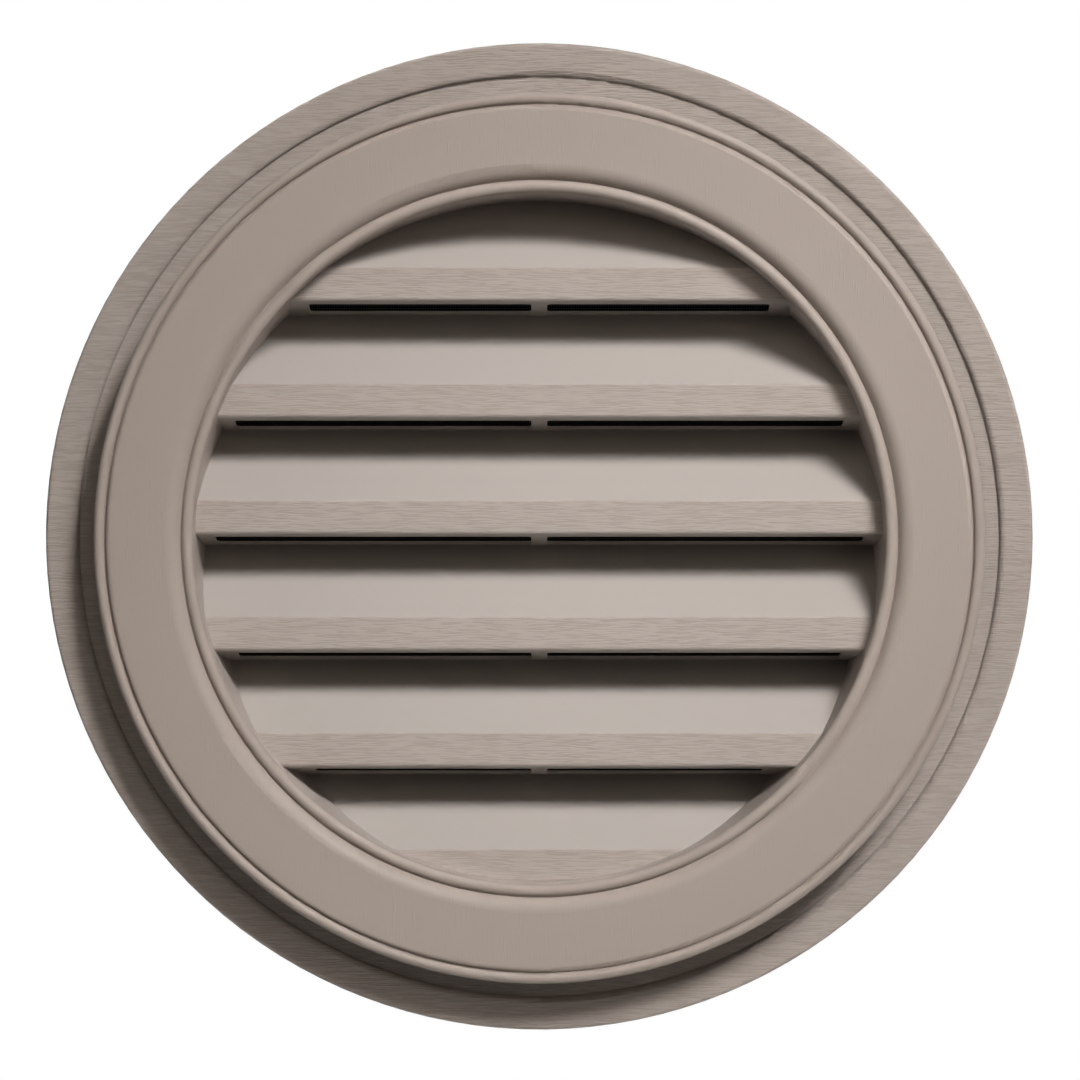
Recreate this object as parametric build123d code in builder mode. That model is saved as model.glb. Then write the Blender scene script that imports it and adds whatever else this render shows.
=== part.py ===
from build123d import *
import os
from math import asin, degrees, sqrt

os.makedirs("parts", exist_ok=True)

# A round gable vent in millimetres: a louvred base, a trim ring that snaps onto it and an insect screen.
# The base is one moulding, made here as its wall flange, its collar and its louvre sheet, which meet face to face.
# The front faces -Y, +Z is up, and the origin is the vent's centre on the wall plane.
# Heights run from the wall plane towards the front, and depths from it into the wall.

# Wall flange of the base: a flat web inside a raised band with a hollow, ribbed back
flange_radius = 279.4
flange_width = 82.6
flange_edge_radius = 2.0
base_wall = 2.5
band_width = 18.9
band_step = 3.5
band_rib_count = 16
band_rib_thickness = 2.0

# Riser in front of the flange, which carries the ring, and the collar behind it, relieved to pass the wall opening
riser_height = 31.0
collar_relief = 1.8
collar_draft = 3.3
collar_clearance = 0.3

# Screw holes in the web, hidden by the ring
screw_hole_radius = 2.75
screw_offset = 28.2
screw_hole_count = 8

# Louvres: one folded sheet of slanted faces, upright lips and returns that slope down to the back
louvre_count = 6
louvre_top_gap = 5.4
louvre_depth = 50.0
louvre_wall = 1.5
lip_setback = 10.6
lip_tall = 19.0
lip_top_radius = 1.2
lip_bottom_radius = 2.8
return_drop = 7.5

# Air slots in the returns, two to a return with a rib between them
slot_front_share = 0.185
slot_back_share = 0.83
slot_end_gap = 13.0
slot_rib_width = 9.0
slot_corner_radius = 3.0

# Trim ring: from the outer bead, over the flat face and its rounded inner edge, to the inner bead
ring_wall = 2.3
ring_reveal = 29.6
ring_face_rise = 7.9
ring_lip_drop = 16.9
ring_overhang = 0.1
ring_clearance = 0.4
outer_bead_radius = 3.0
outer_quirk_width = 0.4
shoulder_radius = 3.0
ovolo_radius = 9.5
ovolo_width = 8.4
inner_quirk_width = 0.5
inner_quirk_rise = 0.8
inner_bead_radius = 3.5
inner_bead_rise = 1.6

# Gussets behind the ring, from its skirt to the back of its face
gusset_count = 16
gusset_thickness = 1.8
gusset_length = 16.0
gusset_foot_height = 16.0
gusset_root_share = 0.3

# Snap catches on the riser, and the windows in the ring's skirt that hold them
catch_count = 8
catch_width = 22.0
catch_reach = 2.0
catch_low_height = 14.0
catch_high_height = 19.0

# Insect screen, welded to the collar's rear edge
screen_thickness = 0.6
screen_margin = 0.5

# Radial section: local x is the radius along +X, local y is the height towards the front
section = Plane(origin=(0, 0, 0), x_dir=(1, 0, 0), z_dir=(0, 0, -1))

# Sizes that follow for the base
web_height = base_wall
band_height = web_height + band_step
band_foot_radius = flange_radius - band_width
rim_inner_radius = flange_radius - base_wall
hollow_inner_radius = band_foot_radius + base_wall
hollow_height = band_height - base_wall
riser_radius = flange_radius - flange_width
riser_middle_radius = riser_radius - base_wall / 2
collar_radius = riser_radius - collar_relief
collar_inner_radius = riser_radius - base_wall
collar_back_radius = collar_inner_radius - collar_draft
screw_circle_radius = riser_radius + screw_offset
lip_front_height = riser_height - lip_setback
louvre_pitch = 2 * riser_radius / louvre_count
louvre_top = riser_radius - louvre_top_gap
louvre_back_depth = louvre_depth - lip_front_height
slant_rise = louvre_pitch - lip_tall - return_drop
slot_circle_radius = riser_radius - slot_end_gap
collar_depth = louvre_back_depth + louvre_wall + collar_clearance

# Front line of the louvre sheet, from above the top louvre to below the last one
louvre_points = [(-lip_front_height, louvre_top + return_drop)]
for louvre in range(louvre_count):
    fold_top = louvre_top - louvre * louvre_pitch
    louvre_points.append((louvre_back_depth, fold_top))
    louvre_points.append((-lip_front_height, fold_top - slant_rise))
    louvre_points.append((-lip_front_height, fold_top - slant_rise - lip_tall))
louvre_points.append((louvre_back_depth, louvre_top - louvre_count * louvre_pitch))

with BuildPart(Plane.XZ) as wall_flange:
    # Flat web and raised band
    with BuildSketch(section):
        with BuildLine():
            edge_round = CenterArc(
                (flange_radius - flange_edge_radius, band_height - flange_edge_radius), flange_edge_radius, 0, 90
            )
            foot_round = CenterArc((band_foot_radius + band_step, web_height), band_step, 90, 90)
            Line(edge_round @ 1, foot_round @ 0)
            Polyline(
                foot_round @ 1,
                (riser_radius, web_height),
                (riser_radius, 0),
                (hollow_inner_radius, 0),
                (hollow_inner_radius, hollow_height),
                (rim_inner_radius, hollow_height),
                (rim_inner_radius, 0),
                (flange_radius, 0),
                edge_round @ 0,
            )
        make_face()
    revolve(axis=Axis.Y)

    # Ribs in the hollow behind the raised band
    band_rib_length = rim_inner_radius - hollow_inner_radius + base_wall
    with PolarLocations((rim_inner_radius + hollow_inner_radius) / 2, band_rib_count):
        Box(
            band_rib_length,
            band_rib_thickness,
            hollow_height + base_wall / 2,
            align=(Align.CENTER, Align.CENTER, Align.MIN),
        )

    # Screw holes, turned to stand between the catches
    with PolarLocations(screw_circle_radius, screw_hole_count, start_angle=180 / screw_hole_count):
        with Locations((0, 0, base_wall)):
            Hole(screw_hole_radius, depth=base_wall)

wall_flange.part.label = "wall_flange"
export_step(wall_flange.part, "parts/wall_flange.step")

with BuildPart(Plane.XZ) as vent_collar:
    # Riser and collar, with the draft of the mould on the inside
    with BuildSketch(section):
        with BuildLine():
            Polyline(
                (riser_radius, 0),
                (riser_radius, riser_height),
                (collar_inner_radius, riser_height),
                (collar_back_radius, -collar_depth),
                (collar_radius, -collar_depth),
                (collar_radius, 0),
                close=True,
            )
        make_face()
    revolve(axis=Axis.Y)

    # Snap catches on the riser: a ramp towards the front and a flat back
    for catch in range(catch_count):
        with BuildSketch(section.rotated((0, catch * 360 / catch_count, 0))):
            with BuildLine():
                Polyline(
                    (riser_middle_radius, catch_low_height),
                    (riser_radius + catch_reach, catch_low_height),
                    (riser_radius, catch_high_height),
                    (riser_middle_radius, catch_high_height),
                    close=True,
                )
            make_face()
        extrude(amount=catch_width / 2, both=True)

vent_collar.part.label = "vent_collar"
export_step(vent_collar.part, "parts/vent_collar.step")

with BuildPart(Plane.XZ) as louvre_sheet:
    # Folded section, drawn across the whole opening
    with BuildSketch(Plane.YZ) as louvre_section:
        with BuildLine():
            front_line = Polyline(*louvre_points)
            offset(front_line, amount=louvre_wall, side=Side.LEFT, closed=True)
        make_face()
        lip_corners = louvre_section.vertices().group_by(Axis.X)[0].sort_by(Axis.Y, reverse=True)
        fillet(lip_corners[2::2], radius=lip_bottom_radius)
        lip_corners = louvre_section.vertices().group_by(Axis.X)[0].sort_by(Axis.Y, reverse=True)
        fillet(lip_corners[1::2], radius=lip_top_radius)
    extrude(amount=riser_radius, both=True)

    # Trimmed to the drafted inside of the collar
    with BuildSketch(section):
        with BuildLine():
            Polyline(
                (0, riser_height),
                (collar_inner_radius, riser_height),
                (collar_back_radius, -collar_depth),
                (0, -collar_depth),
                close=True,
            )
        make_face()
    revolve(axis=Axis.Y, mode=Mode.INTERSECT)

    # Air slots in every return but the last, which closes on the collar
    slot_length = louvre_depth * (slot_back_share - slot_front_share)
    slot_middle = louvre_depth * (slot_back_share + slot_front_share) / 2
    for louvre in range(louvre_count - 1):
        lip_bottom = louvre_top - louvre * louvre_pitch - slant_rise - lip_tall
        slot_level = lip_bottom - return_drop * slot_middle / louvre_depth
        slot_end = sqrt(slot_circle_radius**2 - slot_level**2)
        slot_width = slot_end - slot_rib_width / 2
        slot_place = (slot_end + slot_rib_width / 2) / 2
        with BuildSketch(Plane.XY.offset(lip_bottom - return_drop - louvre_wall)):
            with GridLocations(2 * slot_place, 0, 2, 1):
                with Locations((0, slot_middle - lip_front_height)):
                    RectangleRounded(slot_width, slot_length, slot_corner_radius)
        extrude(amount=return_drop + louvre_wall + lip_tall / 2, mode=Mode.SUBTRACT)

louvre_sheet.part.label = "louvre_sheet"
export_step(louvre_sheet.part, "parts/louvre_sheet.step")

# Sizes that follow for the trim ring
ring_face_height = riser_height + ring_face_rise
ring_lip_height = ring_face_height - ring_lip_drop
ring_outer_radius = flange_radius - ring_reveal
ring_inner_radius = collar_inner_radius - ring_overhang
outer_bead_place = ring_outer_radius - outer_bead_radius
outer_quirk_height = ring_face_height - shoulder_radius
shoulder_foot = outer_bead_place - outer_bead_radius - outer_quirk_width
shoulder_top = shoulder_foot - shoulder_radius
inner_bead_place = ring_inner_radius + inner_bead_radius
inner_bead_height = riser_height + inner_bead_rise
inner_bead_start = degrees(asin(inner_quirk_rise / inner_bead_radius))
inner_bead_end = inner_bead_place + sqrt(inner_bead_radius**2 - inner_quirk_rise**2)
inner_quirk_height = inner_bead_height + inner_quirk_rise
ovolo_end = inner_bead_end + inner_quirk_width
ovolo_start = ovolo_end + ovolo_width
ovolo_angle = degrees(asin(ovolo_width / ovolo_radius))
skirt_inner_radius = riser_radius + ring_clearance
skirt_outer_radius = skirt_inner_radius + ring_wall
skirt_middle_radius = skirt_inner_radius + ring_wall / 2
face_back_height = ring_face_height - ring_wall
outer_bead_back_height = outer_quirk_height - ring_wall
inner_bead_back_height = inner_quirk_height - ring_wall
gusset_reach = ovolo_start + gusset_length
gusset_root = ring_wall * gusset_root_share

with BuildPart(Plane.XZ) as trim_ring:
    # Moulded section, with its skirt standing on the web around the riser
    with BuildSketch(section):
        with BuildLine():
            outer_bead = CenterArc((outer_bead_place, outer_quirk_height), outer_bead_radius, 0, 180)
            shoulder = CenterArc((shoulder_top, outer_quirk_height), shoulder_radius, 0, 90)
            Line(outer_bead @ 1, shoulder @ 0)
            ovolo = CenterArc((ovolo_start, ring_face_height - ovolo_radius), ovolo_radius, 90, ovolo_angle)
            Line(shoulder @ 1, ovolo @ 0)
            inner_bead = CenterArc(
                (inner_bead_place, inner_bead_height), inner_bead_radius, inner_bead_start, 180 - inner_bead_start
            )
            Polyline(ovolo @ 1, (ovolo_end, inner_quirk_height), inner_bead @ 0)
            Polyline(
                inner_bead @ 1,
                (ring_inner_radius, riser_height + ring_clearance),
                (skirt_inner_radius, riser_height + ring_clearance),
                (skirt_inner_radius, web_height),
                (skirt_outer_radius, web_height),
                (skirt_outer_radius, inner_bead_back_height),
                (ovolo_end + ring_wall, inner_bead_back_height),
                (ovolo_start, face_back_height),
                (shoulder_top - shoulder_radius, face_back_height),
                (shoulder_top, outer_bead_back_height),
                (ring_outer_radius - ring_wall, outer_bead_back_height),
                (ring_outer_radius - ring_wall, ring_lip_height),
                (ring_outer_radius, ring_lip_height),
                outer_bead @ 0,
            )
        make_face()
    revolve(axis=Axis.Y)

    # Gussets, turned to stand between the snap windows
    for gusset in range(gusset_count):
        with BuildSketch(section.rotated((0, (gusset + 0.5) * 360 / gusset_count, 0))):
            with BuildLine():
                Polyline(
                    (skirt_middle_radius, gusset_foot_height),
                    (gusset_reach, face_back_height),
                    (gusset_reach, face_back_height + gusset_root),
                    (ovolo_start, face_back_height + gusset_root),
                    (skirt_middle_radius, inner_bead_back_height + gusset_root),
                    close=True,
                )
            make_face()
        extrude(amount=gusset_thickness / 2, both=True)

    # Windows that the catches snap into
    window_low_height = catch_low_height - ring_clearance
    window_tall = catch_high_height + ring_clearance - window_low_height
    with PolarLocations(skirt_middle_radius, catch_count):
        with Locations((0, 0, window_low_height + window_tall / 2)):
            Box(2 * ring_wall, catch_width + 2 * ring_clearance, window_tall, mode=Mode.SUBTRACT)

trim_ring.part.label = "trim_ring"
export_step(trim_ring.part, "parts/trim_ring.step")

with BuildPart() as insect_screen:
    with BuildSketch(Plane.XZ.offset(-collar_depth)):
        Circle(collar_radius - screen_margin)
    extrude(amount=-screen_thickness)

insect_screen.part.label = "insect_screen"
export_step(insect_screen.part, "parts/insect_screen.step")
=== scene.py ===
import math

import bmesh
import bpy
from bpy.props import FloatProperty, FloatVectorProperty, IntProperty, PointerProperty
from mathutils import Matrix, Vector


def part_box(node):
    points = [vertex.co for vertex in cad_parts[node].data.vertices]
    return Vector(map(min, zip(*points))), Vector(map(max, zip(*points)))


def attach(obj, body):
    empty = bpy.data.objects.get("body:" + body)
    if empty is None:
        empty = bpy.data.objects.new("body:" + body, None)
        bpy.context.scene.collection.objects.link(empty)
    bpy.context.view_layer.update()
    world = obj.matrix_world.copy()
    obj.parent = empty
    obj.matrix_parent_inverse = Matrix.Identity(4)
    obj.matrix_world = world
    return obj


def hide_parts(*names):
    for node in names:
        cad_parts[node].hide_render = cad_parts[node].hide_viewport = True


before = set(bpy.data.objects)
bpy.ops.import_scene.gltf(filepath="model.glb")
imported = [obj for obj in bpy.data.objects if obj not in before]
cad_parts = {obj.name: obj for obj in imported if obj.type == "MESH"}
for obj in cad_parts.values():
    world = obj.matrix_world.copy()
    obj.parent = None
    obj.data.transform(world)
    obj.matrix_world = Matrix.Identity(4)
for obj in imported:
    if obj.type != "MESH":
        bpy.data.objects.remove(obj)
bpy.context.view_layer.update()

bl_info = {
    "name": "Round Gable Vent",
    "version": (1, 0, 0),
    "blender": (4, 5, 0),
    "location": "3D View > Sidebar > Gable Vent",
    "description": "Finishes, insect screen and photo stage for a round louvred gable vent",
    "category": "Object",
}

MM = 0.001


def linear(hex_colour):
    """Turn an sRGB hex colour into the linear values that Blender's sockets take."""
    parts = [int(hex_colour[i:i + 2], 16) / 255 for i in (1, 3, 5)]
    return tuple(c / 12.92 if c <= 0.04045 else ((c + 0.055) / 1.055) ** 2.4 for c in parts)


# Places of the solids, read from the frame: heights run towards the front, which is -Y
lip_height = -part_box("louvre_sheet")[0].y
screen_low, screen_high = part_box("insect_screen")
screen_radius = screen_high.x

# Grain: how far a face turns to the front where the grain starts and where it is full, as the normal's Y,
# and the noise levels of a groove's bottom and of the skin beside it
grain_start_turn = -0.2
grain_full_turn = -0.6
groove_bottom_level = 0.40
groove_skin_level = 0.56

# Tool marks on the satin skin: the noise levels where a mark leaves the skin and where it is full
mark_start_level = 0.59
mark_full_level = 0.74

# Vinyl coat of the yarn: size of its glossy and dull spots, and how rough they are
coat_spot = 6 * MM
coat_gloss_roughness = 0.42
coat_dull_roughness = 0.62
vinyl_ior = 1.53

# Insect screen: how the two sets of yarn lie behind its front, in yarn diameters, and the edge's steps
warp_level = 0.5
weft_level = 1.5
weld_steps = 256

# Stage: the paper floor, and the black cloth of painted shade that hangs behind the screen
paper_colour = linear("#F2F1EF")
paper_roughness = 0.9
fade_start_share = 0.4
fade_end_share = 0.95
disc_steps = 96
flag_gap = 4 * MM

# Stage: where each lamp stands, seen from the vent, its distance and its size
key_direction = (0.48, -1.0, 0.83)
key_distance = 2700 * MM
key_size = 940 * MM
key_beam = math.radians(25)
key_aim = (70 * MM, 0, 10 * MM)
fill_direction = (-0.2, -1.0, 0.5)
fill_size = 2000 * MM
side_direction = (0.5, -1.0, 0.15)
side_size = 1400 * MM
back_direction = (-0.4, 1.0, 0.6)
back_size = 1400 * MM
soft_distance = 2600 * MM
open_beam = math.pi
plain_white = (1, 1, 1)
warm_white = (1, 0.93, 0.82)

# Camera: the point that it looks at and the width of its sensor in millimetres
camera_aim = (0.4 * MM, -6 * MM, -1.3 * MM)
sensor_width = 36.0


def add_node(tree, kind, inputs=None, **settings):
    """Add a node, set its settings, and fill its inputs with values or links from other sockets."""
    node = tree.nodes.new(kind)
    for name, value in settings.items():
        setattr(node, name, value)
    for key, value in (inputs or {}).items():
        if isinstance(value, bpy.types.NodeSocket):
            tree.links.new(value, node.inputs[key])
        else:
            node.inputs[key].default_value = value
    return node


class VentFinishSettings(bpy.types.PropertyGroup):
    """Colours and grain of the two mouldings."""

    plastic_colour: FloatVectorProperty(
        name="Plastic", description="Colour of the moulded polypropylene",
        subtype="COLOR", size=3, min=0.0, max=1.0, default=linear("#A99E97"),
    )
    # Painted sheen: the base's smooth faces get a greyer colour that stands in for the sheen of the light on
    # them
    painted_sheen_colour: FloatVectorProperty(
        name="Smooth plastic", description="Colour of the base where its skin has no grain",
        subtype="COLOR", size=3, min=0.0, max=1.0, default=linear("#A69E98"),
    )
    ring_colour: FloatVectorProperty(
        name="Ring", description="Colour of the ring, a little darker than the base",
        subtype="COLOR", size=3, min=0.0, max=1.0, default=linear("#9F938B"),
    )
    # Painted shade: the bottoms of the grain grooves get a darker colour that stands in for the shade that
    # falls in them
    painted_groove_shade_colour: FloatVectorProperty(
        name="Grain grooves", description="Colour at the bottom of the embossed grain",
        subtype="COLOR", size=3, min=0.0, max=1.0, default=linear("#9F948C"),
    )
    base_roughness: FloatProperty(
        name="Base roughness", description="Roughness of the base's textured skin",
        subtype="FACTOR", min=0.0, max=1.0, default=0.50,
    )
    ring_roughness: FloatProperty(
        name="Ring roughness", description="Roughness of the ring's satin skin",
        subtype="FACTOR", min=0.0, max=1.0, default=0.42,
    )
    specular: FloatProperty(
        name="Specular", description="How much of a polished skin's reflection the matted plastic keeps",
        subtype="FACTOR", min=0.0, max=1.0, default=0.15,
    )
    grain_width: FloatProperty(
        name="Grain width", description="Width of one stroke of the wood grain",
        subtype="DISTANCE", unit="LENGTH", min=0.0, default=0.58 * MM,
    )
    grain_length: FloatProperty(
        name="Grain length", description="Length of one stroke of the wood grain",
        subtype="DISTANCE", unit="LENGTH", min=0.0, default=12 * MM,
    )
    lip_grain_depth: FloatProperty(
        name="Lip grain depth", description="Depth of the wood grain embossed on the lips",
        subtype="DISTANCE", unit="LENGTH", min=0.0, default=0.085 * MM,
    )
    flange_grain_depth: FloatProperty(
        name="Flange grain depth", description="Depth of the wood grain embossed on the flange",
        subtype="DISTANCE", unit="LENGTH", min=0.0, default=0.20 * MM,
    )
    wave_length: FloatProperty(
        name="Wave length", description="Length of the slow waves that the grain follows",
        subtype="DISTANCE", unit="LENGTH", min=0.0, default=25 * MM,
    )
    wave_height: FloatProperty(
        name="Wave height", description="Height of the slow waves that the grain follows",
        subtype="DISTANCE", unit="LENGTH", min=0.0, default=1.6 * MM,
    )
    grain_fade: FloatProperty(
        name="Grain fade", description="Depth behind the front over which the grain runs out",
        subtype="DISTANCE", unit="LENGTH", min=0.0, default=0.7 * MM,
    )
    mark_width: FloatProperty(
        name="Mark width", description="Width of one upright tool mark on the satin skin",
        subtype="DISTANCE", unit="LENGTH", min=0.0, default=0.8 * MM,
    )
    mark_length: FloatProperty(
        name="Mark length", description="Length of one upright tool mark on the satin skin",
        subtype="DISTANCE", unit="LENGTH", min=0.0, default=12 * MM,
    )
    mark_depth: FloatProperty(
        name="Mark depth", description="Depth of the upright tool marks",
        subtype="DISTANCE", unit="LENGTH", min=0.0, default=0.05 * MM,
    )


class VentScreenSettings(bpy.types.PropertyGroup):
    """Sizes of the woven insect screen."""

    colour: FloatVectorProperty(
        name="Yarn", description="Colour of the coated yarn",
        subtype="COLOR", size=3, min=0.0, max=1.0, default=linear("#26272A"),
    )
    warp_pitch: FloatProperty(
        name="Warp pitch", description="Spacing of the upright yarns, 18 to the inch",
        subtype="DISTANCE", unit="LENGTH", min=0.0, default=25.4 * MM / 18,
    )
    weft_pitch: FloatProperty(
        name="Weft pitch", description="Spacing of the level yarns, 16 to the inch",
        subtype="DISTANCE", unit="LENGTH", min=0.0, default=25.4 * MM / 16,
    )
    yarn_diameter: FloatProperty(
        name="Yarn diameter", description="Thickness of one coated yarn",
        subtype="DISTANCE", unit="LENGTH", min=0.0, default=0.30 * MM,
    )
    weld_width: FloatProperty(
        name="Weld width", description="Width of the melted edge on the collar",
        subtype="DISTANCE", unit="LENGTH", min=0.0, default=1.2 * MM,
    )
    yarn_sides: IntProperty(
        name="Yarn sides", description="Sides of a yarn's section", min=3, max=12, default=6,
    )


class VentStageSettings(bpy.types.PropertyGroup):
    """Camera, lamps and floor."""

    camera_distance: FloatProperty(
        name="Camera distance", description="From the lens to the front of the flange",
        subtype="DISTANCE", unit="LENGTH", min=0.0, default=3145 * MM,
    )
    camera_elevation: FloatProperty(
        name="Camera elevation", description="How far the camera looks down on the vent",
        subtype="ANGLE", unit="ROTATION", default=math.radians(1.6),
    )
    frame_width: FloatProperty(
        name="Frame width", description="Width that the picture takes in at the flange",
        subtype="DISTANCE", unit="LENGTH", min=0.0, default=611.2 * MM,
    )
    floor_drop: FloatProperty(
        name="Floor drop", description="From the vent's centre down to the floor",
        subtype="DISTANCE", unit="LENGTH", min=0.0, default=600 * MM,
    )
    floor_radius: FloatProperty(
        name="Floor radius", description="Reach of the floor before it fades into the backdrop",
        subtype="DISTANCE", unit="LENGTH", min=0.0, default=700 * MM,
    )
    key_share: FloatProperty(
        name="Key light", description="Share of the plain light level that the key lamp gives",
        subtype="FACTOR", min=0.0, max=2.0, default=0.985,
    )
    fill_share: FloatProperty(
        name="Fill light", description="Share of the plain light level that the fill lamp gives",
        subtype="FACTOR", min=0.0, max=2.0, default=0.11,
    )
    side_share: FloatProperty(
        name="Side light", description="Share of the plain light level that the side lamp gives",
        subtype="FACTOR", min=0.0, max=2.0, default=0.07,
    )
    back_share: FloatProperty(
        name="Back light", description="Share of the plain light level that the back lamp gives",
        subtype="FACTOR", min=0.0, max=2.0, default=0.5,
    )
    ambient_share: FloatProperty(
        name="Ambient light", description="Share of the plain light level that the room gives",
        subtype="FACTOR", min=0.0, max=1.0, default=0.015,
    )


def grained_polypropylene(name, settings, grain_height, grain_depth):
    """Polypropylene moulded in a textured tool: matt, with a level wood grain from one height forward."""
    # The grain breaks the light into fine level strokes, while the faces behind it stay smooth and even
    material = bpy.data.materials.new(name)
    material.use_nodes = True
    tree = material.node_tree
    tree.nodes.clear()
    place = add_node(tree, "ShaderNodeTexCoord").outputs["Object"]
    axes = add_node(tree, "ShaderNodeSeparateXYZ", {0: place}).outputs

    # Where the grain is: on what faces the front, and it fades out over the edge behind its height
    reached = add_node(
        tree, "ShaderNodeMapRange",
        {
            "Value": axes["Y"], "From Min": -grain_height + settings.grain_fade,
            "From Max": -grain_height + grain_depth,
        },
    ).outputs[0]
    normal = add_node(tree, "ShaderNodeNewGeometry").outputs["True Normal"]
    forward = add_node(tree, "ShaderNodeSeparateXYZ", {0: normal}).outputs["Y"]
    facing = add_node(
        tree, "ShaderNodeMapRange",
        {"Value": forward, "From Min": grain_start_turn, "From Max": grain_full_turn},
    ).outputs[0]
    grained = add_node(tree, "ShaderNodeMath", {0: reached, 1: facing}, operation="MULTIPLY").outputs[0]

    # Level strokes, which rise and fall with slow waves
    wave = add_node(
        tree, "ShaderNodeTexNoise", {"Vector": place, "Scale": 1 / settings.wave_length, "Detail": 0.0}
    ).outputs[0]
    lift = add_node(
        tree, "ShaderNodeMath", {0: wave, 1: settings.wave_height}, operation="MULTIPLY"
    ).outputs[0]
    rise = add_node(tree, "ShaderNodeCombineXYZ", {"Z": lift}).outputs[0]
    waved = add_node(tree, "ShaderNodeVectorMath", {0: place, 1: rise}, operation="ADD").outputs[0]
    stroke_scale = (1 / settings.grain_length, 1 / settings.grain_length, 1 / settings.grain_width)
    stroke_place = add_node(tree, "ShaderNodeMapping", {"Vector": waved, "Scale": stroke_scale}).outputs[0]
    strokes = add_node(
        tree, "ShaderNodeTexNoise", {"Vector": stroke_place, "Scale": 1.0, "Detail": 1.0, "Roughness": 0.5}
    ).outputs[0]
    groove = add_node(
        tree, "ShaderNodeMapRange",
        {"Value": strokes, "From Min": groove_bottom_level, "From Max": groove_skin_level},
        interpolation_type="SMOOTHSTEP",
    ).outputs[0]
    height = add_node(tree, "ShaderNodeMath", {0: groove, 1: grained}, operation="MULTIPLY").outputs[0]
    bump = add_node(
        tree, "ShaderNodeBump", {"Height": height, "Strength": 1.0, "Distance": grain_depth}
    ).outputs[0]

    # Colour: greyer where the skin is smooth, a painted sheen, and darker in the grooves of the grain, a
    # painted shade
    # Painted sheen: the smooth faces take the greyer colour in place of the light's sheen on them
    skin = add_node(
        tree, "ShaderNodeMix",
        {"Factor": grained, "A": (*settings.painted_sheen_colour, 1), "B": (*settings.plastic_colour, 1)},
        data_type="RGBA",
    ).outputs["Result"]
    # Painted shade: the grooves are darkened where the grain is, standing in for the shade in them
    depth = add_node(tree, "ShaderNodeMath", {0: 1.0, 1: groove}, operation="SUBTRACT").outputs[0]
    shade = add_node(tree, "ShaderNodeMath", {0: depth, 1: grained}, operation="MULTIPLY").outputs[0]
    colour = add_node(
        tree, "ShaderNodeMix",
        {"Factor": shade, "A": skin, "B": (*settings.painted_groove_shade_colour, 1)},
        data_type="RGBA",
    ).outputs["Result"]
    shader = add_node(
        tree, "ShaderNodeBsdfPrincipled",
        {
            "Base Color": colour, "Roughness": settings.base_roughness,
            "Specular IOR Level": settings.specular, "Normal": bump,
        },
    )
    add_node(tree, "ShaderNodeOutputMaterial", {"Surface": shader.outputs[0]})
    return material


def satin_polypropylene(name, settings, tint):
    """Polypropylene moulded in a polished tool: satin, with faint upright tool marks."""
    # The upright marks show where the light grazes the ring above and below the opening
    material = bpy.data.materials.new(name)
    material.use_nodes = True
    tree = material.node_tree
    tree.nodes.clear()
    place = add_node(tree, "ShaderNodeTexCoord").outputs["Object"]
    mark_scale = (1 / settings.mark_width, 1 / settings.mark_length, 1 / settings.mark_length)
    mark_place = add_node(tree, "ShaderNodeMapping", {"Vector": place, "Scale": mark_scale}).outputs[0]
    marks = add_node(
        tree, "ShaderNodeTexNoise", {"Vector": mark_place, "Scale": 1.0, "Detail": 1.0, "Roughness": 0.5}
    ).outputs[0]
    scored = add_node(
        tree, "ShaderNodeMapRange",
        {"Value": marks, "From Min": mark_start_level, "From Max": mark_full_level},
        interpolation_type="SMOOTHSTEP",
    ).outputs[0]
    bump = add_node(
        tree, "ShaderNodeBump", {"Height": scored, "Strength": 1.0, "Distance": settings.mark_depth}
    ).outputs[0]
    shader = add_node(
        tree, "ShaderNodeBsdfPrincipled",
        {
            "Base Color": (*tint, 1), "Roughness": settings.ring_roughness,
            "Specular IOR Level": settings.specular, "Normal": bump,
        },
    )
    add_node(tree, "ShaderNodeOutputMaterial", {"Surface": shader.outputs[0]})
    return material


def coated_fibreglass(settings):
    """Fibreglass yarn in a vinyl coat: charcoal, with a soft waxy gloss along each yarn."""
    material = bpy.data.materials.new("coated_fibreglass")
    material.use_nodes = True
    tree = material.node_tree
    tree.nodes.clear()
    place = add_node(tree, "ShaderNodeTexCoord").outputs["Object"]
    coat = add_node(
        tree, "ShaderNodeTexNoise", {"Vector": place, "Scale": 1 / coat_spot, "Detail": 2.0}
    ).outputs[0]
    roughness = add_node(
        tree, "ShaderNodeMapRange",
        {"Value": coat, "To Min": coat_gloss_roughness, "To Max": coat_dull_roughness},
    ).outputs[0]
    shader = add_node(
        tree, "ShaderNodeBsdfPrincipled",
        {"Base Color": (*settings.colour, 1), "Roughness": roughness, "IOR": vinyl_ior},
    )
    add_node(tree, "ShaderNodeOutputMaterial", {"Surface": shader.outputs[0]})
    return material


def dress(node_name, material):
    """Give a solid of the frame its finish in place of the plain one."""
    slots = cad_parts[node_name].data.materials
    slots.clear()
    slots.append(material)


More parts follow.
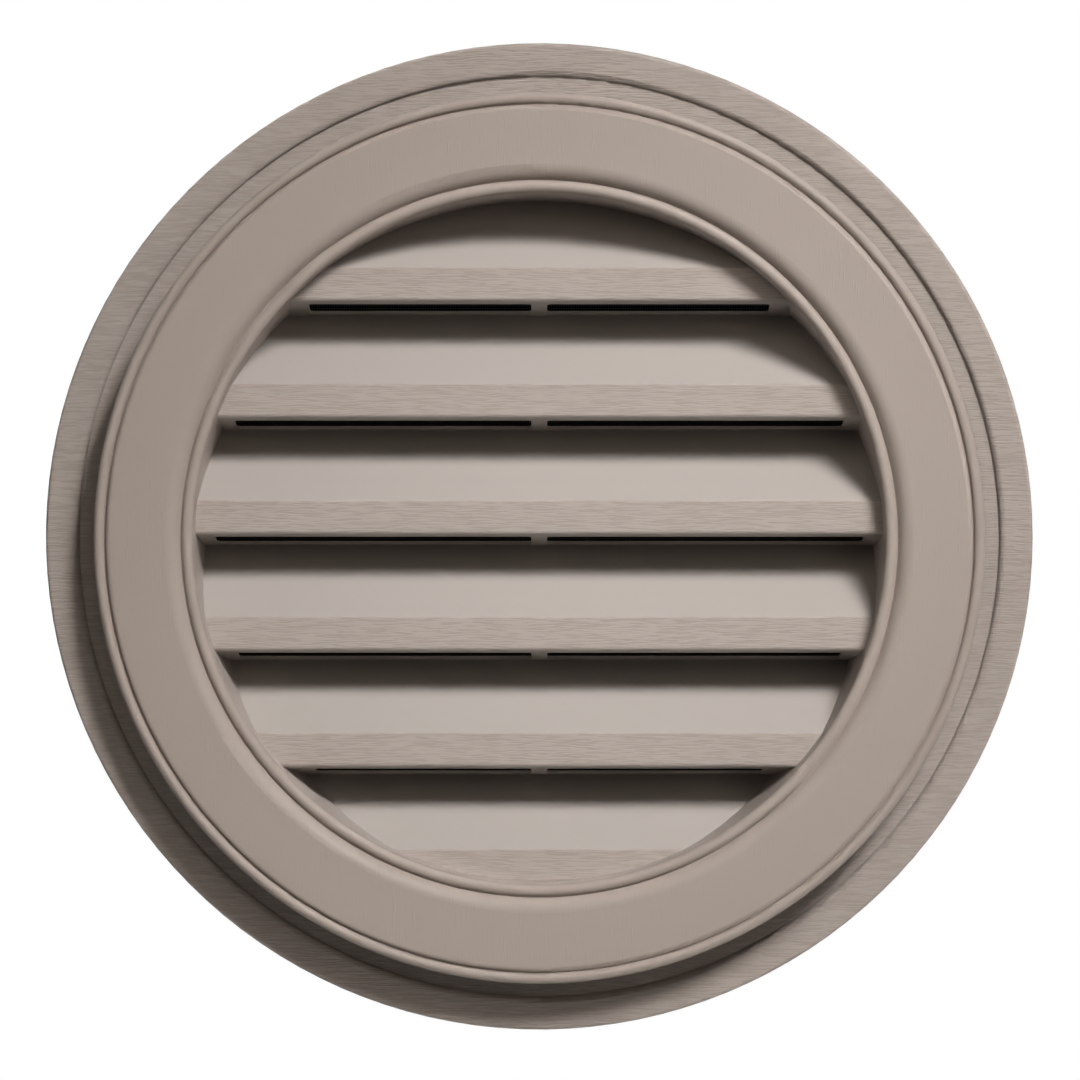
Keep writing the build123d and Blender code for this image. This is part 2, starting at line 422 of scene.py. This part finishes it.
def screen_tree(settings):
    """Geometry nodes for a round screen: upright and level yarns cut to the circle, and a welded edge."""
    tree = bpy.data.node_groups.new("woven_screen", "GeometryNodeTree")
    sizes = {
        "Radius": screen_radius, "Front": screen_low.y, "Warp Pitch": settings.warp_pitch,
        "Weft Pitch": settings.weft_pitch, "Yarn Diameter": settings.yarn_diameter,
        "Weld Width": settings.weld_width,
    }
    for name in sizes:
        tree.interface.new_socket(name, in_out="INPUT", socket_type="NodeSocketFloat")
    tree.interface.new_socket("Material", in_out="INPUT", socket_type="NodeSocketMaterial")
    tree.interface.new_socket("Geometry", in_out="OUTPUT", socket_type="NodeSocketGeometry")
    given = add_node(tree, "NodeGroupInput").outputs
    yarn_radius = add_node(
        tree, "ShaderNodeMath", {0: given["Yarn Diameter"], 1: 0.5}, operation="MULTIPLY"
    ).outputs[0]
    reach = add_node(
        tree, "ShaderNodeMath", {0: given["Radius"], 1: yarn_radius}, operation="SUBTRACT"
    ).outputs[0]
    section = add_node(
        tree, "GeometryNodeCurvePrimitiveCircle",
        {"Resolution": settings.yarn_sides, "Radius": yarn_radius},
    ).outputs["Curve"]
    spine = add_node(
        tree, "GeometryNodeCurvePrimitiveLine", {"Start": (0, 0, -1), "End": (0, 0, 1)}
    ).outputs["Curve"]

    sets = []
    for pitch, level, turn in (("Warp Pitch", warp_level, 0.0), ("Weft Pitch", weft_level, math.pi / 2)):
        # One yarn stands at each step across the circle, as long as the chord there
        half_count = add_node(
            tree, "ShaderNodeMath", {0: reach, 1: given[pitch]}, operation="DIVIDE"
        ).outputs[0]
        whole = add_node(tree, "ShaderNodeMath", {0: half_count}, operation="FLOOR").outputs[0]
        count = add_node(
            tree, "ShaderNodeMath", {0: whole, 1: 2.0, 2: 1.0}, operation="MULTIPLY_ADD"
        ).outputs[0]
        start = add_node(
            tree, "ShaderNodeMath", {0: whole, 1: given[pitch]}, operation="MULTIPLY"
        ).outputs[0]
        first = add_node(tree, "ShaderNodeMath", {0: start, 1: -1.0}, operation="MULTIPLY").outputs[0]
        line = add_node(
            tree, "GeometryNodeMeshLine",
            {
                "Count": count,
                "Start Location": add_node(tree, "ShaderNodeCombineXYZ", {"X": first}).outputs[0],
                "Offset": add_node(tree, "ShaderNodeCombineXYZ", {"X": given[pitch]}).outputs[0],
            },
            mode="OFFSET",
        ).outputs[0]
        step = add_node(
            tree, "ShaderNodeSeparateXYZ", {0: add_node(tree, "GeometryNodeInputPosition").outputs[0]}
        ).outputs["X"]
        step_squared = add_node(
            tree, "ShaderNodeMath", {0: step, 1: step}, operation="MULTIPLY"
        ).outputs[0]
        reach_squared = add_node(
            tree, "ShaderNodeMath", {0: reach, 1: reach}, operation="MULTIPLY"
        ).outputs[0]
        rest = add_node(
            tree, "ShaderNodeMath", {0: reach_squared, 1: step_squared}, operation="SUBTRACT"
        ).outputs[0]
        chord = add_node(tree, "ShaderNodeMath", {0: rest}, operation="SQRT").outputs[0]
        length = add_node(tree, "ShaderNodeCombineXYZ", {"X": 1.0, "Y": 1.0, "Z": chord}).outputs[0]
        yarns = add_node(
            tree, "GeometryNodeInstanceOnPoints", {"Points": line, "Instance": spine, "Scale": length}
        ).outputs[0]
        cut = add_node(tree, "GeometryNodeRealizeInstances", {0: yarns}).outputs[0]
        depth = add_node(
            tree, "ShaderNodeMath", {0: given["Yarn Diameter"], 1: level, 2: given["Front"]},
            operation="MULTIPLY_ADD",
        ).outputs[0]
        laid = add_node(
            tree, "GeometryNodeTransform",
            {
                "Geometry": cut, "Rotation": (0, turn, 0),
                "Translation": add_node(tree, "ShaderNodeCombineXYZ", {"Y": depth}).outputs[0],
            },
        ).outputs[0]
        sets.append(
            add_node(
                tree, "GeometryNodeCurveToMesh",
                {"Curve": laid, "Profile Curve": section, "Fill Caps": True},
            ).outputs[0]
        )

    # Welded edge: a flat band around the circle, as thick as both sets of yarn
    weld_middle = add_node(
        tree, "ShaderNodeMath", {0: given["Weld Width"], 1: -0.5, 2: given["Radius"]},
        operation="MULTIPLY_ADD",
    ).outputs[0]
    edge = add_node(
        tree, "GeometryNodeCurvePrimitiveCircle", {"Resolution": weld_steps, "Radius": weld_middle}
    ).outputs["Curve"]
    thickness = add_node(
        tree, "ShaderNodeMath", {0: given["Yarn Diameter"], 1: 2.0}, operation="MULTIPLY"
    ).outputs[0]
    band = add_node(
        tree, "GeometryNodeCurvePrimitiveQuadrilateral",
        {"Width": given["Weld Width"], "Height": thickness},
    ).outputs[0]
    weld = add_node(tree, "GeometryNodeCurveToMesh", {"Curve": edge, "Profile Curve": band}).outputs[0]
    weld_depth = add_node(
        tree, "ShaderNodeMath", {0: given["Yarn Diameter"], 1: given["Front"]}, operation="ADD"
    ).outputs[0]
    upright = add_node(
        tree, "GeometryNodeTransform",
        {
            "Geometry": weld, "Rotation": (math.pi / 2, 0, 0),
            "Translation": add_node(tree, "ShaderNodeCombineXYZ", {"Y": weld_depth}).outputs[0],
        },
    ).outputs[0]
    joined = add_node(tree, "GeometryNodeJoinGeometry")
    for piece in (*sets, upright):
        tree.links.new(piece, joined.inputs[0])
    whole_mesh = add_node(tree, "GeometryNodeRealizeInstances", {0: joined.outputs[0]}).outputs[0]
    finished = add_node(
        tree, "GeometryNodeSetMaterial", {"Geometry": whole_mesh, "Material": given["Material"]}
    ).outputs[0]
    add_node(tree, "NodeGroupOutput", {0: finished})
    return tree, sizes


class VENT_OT_dress_base(bpy.types.Operator):
    """Give the louvred base its grained finish"""

    bl_idname = "vent.dress_base"
    bl_label = "Dress Louvred Base"

    def execute(self, context):
        settings = context.scene.vent_finish
        flange_skin = grained_polypropylene(
            "grained_polypropylene_flange", settings, settings.grain_fade, settings.flange_grain_depth
        )
        louvre_skin = grained_polypropylene(
            "grained_polypropylene_louvres", settings, lip_height, settings.lip_grain_depth
        )
        collar_skin = satin_polypropylene("satin_polypropylene_collar", settings, settings.plastic_colour)
        dress("wall_flange", flange_skin)
        dress("louvre_sheet", louvre_skin)
        dress("vent_collar", collar_skin)
        return {"FINISHED"}


class VENT_OT_dress_ring(bpy.types.Operator):
    """Give the trim ring its satin finish"""

    bl_idname = "vent.dress_ring"
    bl_label = "Dress Trim Ring"

    def execute(self, context):
        settings = context.scene.vent_finish
        ring_skin = satin_polypropylene("satin_polypropylene_ring", settings, settings.ring_colour)
        dress("trim_ring", ring_skin)
        return {"FINISHED"}


class VENT_OT_weave_screen(bpy.types.Operator):
    """Weave the insect screen in place of its plain disc"""

    bl_idname = "vent.weave_screen"
    bl_label = "Weave Insect Screen"

    def execute(self, context):
        settings = context.scene.vent_screen
        tree, sizes = screen_tree(settings)
        material = coated_fibreglass(settings)
        maker = bpy.data.objects.new("screen_maker", bpy.data.meshes.new("screen_maker"))
        context.scene.collection.objects.link(maker)
        modifier = maker.modifiers.new("Woven screen", "NODES")
        modifier.node_group = tree
        inputs = [item for item in tree.interface.items_tree if item.in_out == "INPUT"]
        sockets = {item.name: item.identifier for item in inputs}
        for name, value in sizes.items():
            modifier[sockets[name]] = value
        modifier[sockets["Material"]] = material
        depsgraph = context.evaluated_depsgraph_get()
        mesh = bpy.data.meshes.new_from_object(maker.evaluated_get(depsgraph))
        maker.modifiers.remove(modifier)
        bpy.data.objects.remove(maker)
        if not mesh.polygons:
            raise RuntimeError("the screen came out empty")
        mesh.name = "woven_screen"
        screen = bpy.data.objects.new("woven_screen", mesh)
        context.scene.collection.objects.link(screen)
        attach(screen, "root")
        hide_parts("insect_screen")
        return {"FINISHED"}


def disc(name, radius, material, place, facing):
    """A flat round stage piece that faces along one direction."""
    mesh = bpy.data.meshes.new(name)
    shape = bmesh.new()
    bmesh.ops.create_circle(shape, cap_ends=True, radius=radius, segments=disc_steps)
    turn = Vector(facing).to_track_quat("Z", "Y").to_matrix().to_4x4()
    bmesh.ops.transform(shape, matrix=turn, verts=shape.verts)
    bmesh.ops.translate(shape, vec=place, verts=shape.verts)
    shape.to_mesh(mesh)
    shape.free()
    mesh.materials.append(material)
    piece = bpy.data.objects.new(name, mesh)
    bpy.context.scene.collection.objects.link(piece)
    return piece


def studio_floor(settings):
    """Pale matt paper that keeps soft shadows and fades into the white backdrop at its edge."""
    material = bpy.data.materials.new("studio_floor")
    material.use_nodes = True
    tree = material.node_tree
    tree.nodes.clear()
    place = add_node(tree, "ShaderNodeTexCoord").outputs["Object"]
    level = add_node(
        tree, "ShaderNodeVectorMath", {0: place, 1: (1, 1, 0)}, operation="MULTIPLY"
    ).outputs[0]
    radius = add_node(tree, "ShaderNodeVectorMath", {0: level}, operation="LENGTH").outputs["Value"]
    fade = add_node(
        tree, "ShaderNodeMapRange",
        {
            "Value": radius, "From Min": settings.floor_radius * fade_start_share,
            "From Max": settings.floor_radius * fade_end_share,
        },
        interpolation_type="SMOOTHSTEP",
    ).outputs[0]
    seen = add_node(tree, "ShaderNodeLightPath").outputs["Is Camera Ray"]
    blend = add_node(tree, "ShaderNodeMath", {0: fade, 1: seen}, operation="MULTIPLY").outputs[0]
    paper = add_node(
        tree, "ShaderNodeBsdfPrincipled", {"Base Color": (*paper_colour, 1), "Roughness": paper_roughness}
    ).outputs[0]
    white = add_node(tree, "ShaderNodeEmission", {"Color": (1, 1, 1, 1), "Strength": 1.0}).outputs[0]
    mixed = add_node(tree, "ShaderNodeMixShader", {0: blend, 1: paper, 2: white}).outputs[0]
    add_node(tree, "ShaderNodeOutputMaterial", {"Surface": mixed})
    return material


def painted_shade_flag():
    """Black cloth of painted shade that keeps the room behind the vent dark and shows black through the
    slots, and lets a camera behind it see through.
    """
    material = bpy.data.materials.new("painted_shade_flag")
    material.use_nodes = True
    tree = material.node_tree
    tree.nodes.clear()
    behind = add_node(tree, "ShaderNodeNewGeometry").outputs["Backfacing"]
    cloth = add_node(tree, "ShaderNodeBsdfDiffuse", {"Color": (0, 0, 0, 1)}).outputs[0]
    clear = add_node(tree, "ShaderNodeBsdfTransparent").outputs[0]
    mixed = add_node(tree, "ShaderNodeMixShader", {0: behind, 1: cloth, 2: clear}).outputs[0]
    add_node(tree, "ShaderNodeOutputMaterial", {"Surface": mixed})
    return material


def lamp(name, share, colour, direction, distance, size, beam, aim=(0, 0, 0)):
    """A round area lamp that gives a share of the plain light level to a front face where it is aimed."""
    towards = Vector(direction).normalized()
    data = bpy.data.lights.new(name, "AREA")
    data.shape = "DISK"
    data.color = colour
    data.size = size
    data.spread = beam
    # A narrow beam gathers the lamp's power, and a wide lamp is partly outside its own beam
    edge = math.tan(beam / 2)
    gathered = edge / (edge - beam / 2) if beam < math.pi else 1.0
    inside = 1 - size / (3 * distance * edge)
    data.energy = share * math.pi ** 2 * distance ** 2 / abs(towards.y) / (gathered * inside)
    piece = bpy.data.objects.new(name, data)
    piece.location = Vector(aim) + towards * distance
    piece.rotation_mode = "QUATERNION"
    piece.rotation_quaternion = towards.to_track_quat("Z", "Y")
    bpy.context.scene.collection.objects.link(piece)
    return piece


def white_world(ambient_share):
    """White to the camera and in reflections, and a dim even room for everything else."""
    world = bpy.data.worlds.new("white_room")
    world.use_nodes = True
    tree = world.node_tree
    tree.nodes.clear()
    path = add_node(tree, "ShaderNodeLightPath").outputs
    seen = add_node(
        tree, "ShaderNodeMath", {0: path["Is Camera Ray"], 1: path["Is Glossy Ray"]}, operation="MAXIMUM"
    ).outputs[0]
    shown = add_node(
        tree, "ShaderNodeMath", {0: seen, 1: path["Is Transmission Ray"]}, operation="MAXIMUM"
    ).outputs[0]
    strength = add_node(
        tree, "ShaderNodeMapRange", {"Value": shown, "To Min": ambient_share, "To Max": 1.0}
    ).outputs[0]
    light = add_node(tree, "ShaderNodeBackground", {"Color": (1, 1, 1, 1), "Strength": strength}).outputs[0]
    add_node(tree, "ShaderNodeOutputWorld", {"Surface": light})
    bpy.context.scene.world = world


class VENT_OT_set_stage(bpy.types.Operator):
    """Set the floor, the dark behind the vent, the lamps and the camera"""

    bl_idname = "vent.set_stage"
    bl_label = "Set Photo Stage"

    def execute(self, context):
        scene = context.scene
        settings = scene.vent_stage
        scene.view_settings.view_transform = "Standard"
        floor_place = (0, 0, -settings.floor_drop)
        flag_place = (0, screen_high.y + flag_gap, 0)
        disc("floor", settings.floor_radius, studio_floor(settings), floor_place, (0, 0, 1))
        # Painted shade: a black disc behind the screen stands in for the dark room there, seen black through
        # the slots
        disc("flag", screen_radius, painted_shade_flag(), flag_place, (0, -1, 0))
        lamp(
            "key_lamp", settings.key_share, plain_white, key_direction, key_distance, key_size, key_beam,
            key_aim,
        )
        lamp(
            "fill_lamp", settings.fill_share, warm_white, fill_direction, soft_distance, fill_size, open_beam
        )
        lamp(
            "side_lamp", settings.side_share, warm_white, side_direction, soft_distance, side_size, open_beam
        )
        lamp(
            "back_lamp", settings.back_share, plain_white, back_direction, soft_distance, back_size, open_beam
        )
        white_world(settings.ambient_share)

        data = bpy.data.cameras.new("photo_camera")
        data.sensor_width = sensor_width
        data.lens = data.sensor_width * settings.camera_distance / settings.frame_width
        camera = bpy.data.objects.new("photo_camera", data)
        back = Vector((0, -math.cos(settings.camera_elevation), math.sin(settings.camera_elevation)))
        camera.location = Vector(camera_aim) + back * settings.camera_distance
        camera.rotation_mode = "QUATERNION"
        camera.rotation_quaternion = back.to_track_quat("Z", "Y")
        scene.collection.objects.link(camera)
        scene.camera = camera
        return {"FINISHED"}


class VENT_PT_sidebar(bpy.types.Panel):
    """Sizes, colours and steps of the gable vent"""

    bl_idname = "VENT_PT_sidebar"
    bl_label = "Gable Vent"
    bl_space_type = "VIEW_3D"
    bl_region_type = "UI"
    bl_category = "Gable Vent"

    def draw(self, context):
        for group in (context.scene.vent_finish, context.scene.vent_screen, context.scene.vent_stage):
            column = self.layout.column(align=True)
            for name in group.__annotations__:
                column.prop(group, name)
        for operator in operators:
            self.layout.operator(operator.bl_idname)


settings_groups = {
    "vent_finish": VentFinishSettings, "vent_screen": VentScreenSettings, "vent_stage": VentStageSettings,
}
operators = (VENT_OT_dress_base, VENT_OT_dress_ring, VENT_OT_weave_screen, VENT_OT_set_stage)


def register():
    for group in settings_groups.values():
        bpy.utils.register_class(group)
    for name, group in settings_groups.items():
        setattr(bpy.types.Scene, name, PointerProperty(type=group))
    for operator in operators:
        bpy.utils.register_class(operator)
    bpy.utils.register_class(VENT_PT_sidebar)


def unregister():
    bpy.utils.unregister_class(VENT_PT_sidebar)
    for operator in reversed(operators):
        bpy.utils.unregister_class(operator)
    for name, group in settings_groups.items():
        delattr(bpy.types.Scene, name)
        bpy.utils.unregister_class(group)


def main():
    register()
    bpy.ops.vent.dress_base()
    bpy.ops.vent.dress_ring()
    bpy.ops.vent.weave_screen()
    bpy.ops.vent.set_stage()


if __name__ == "__main__":
    main()
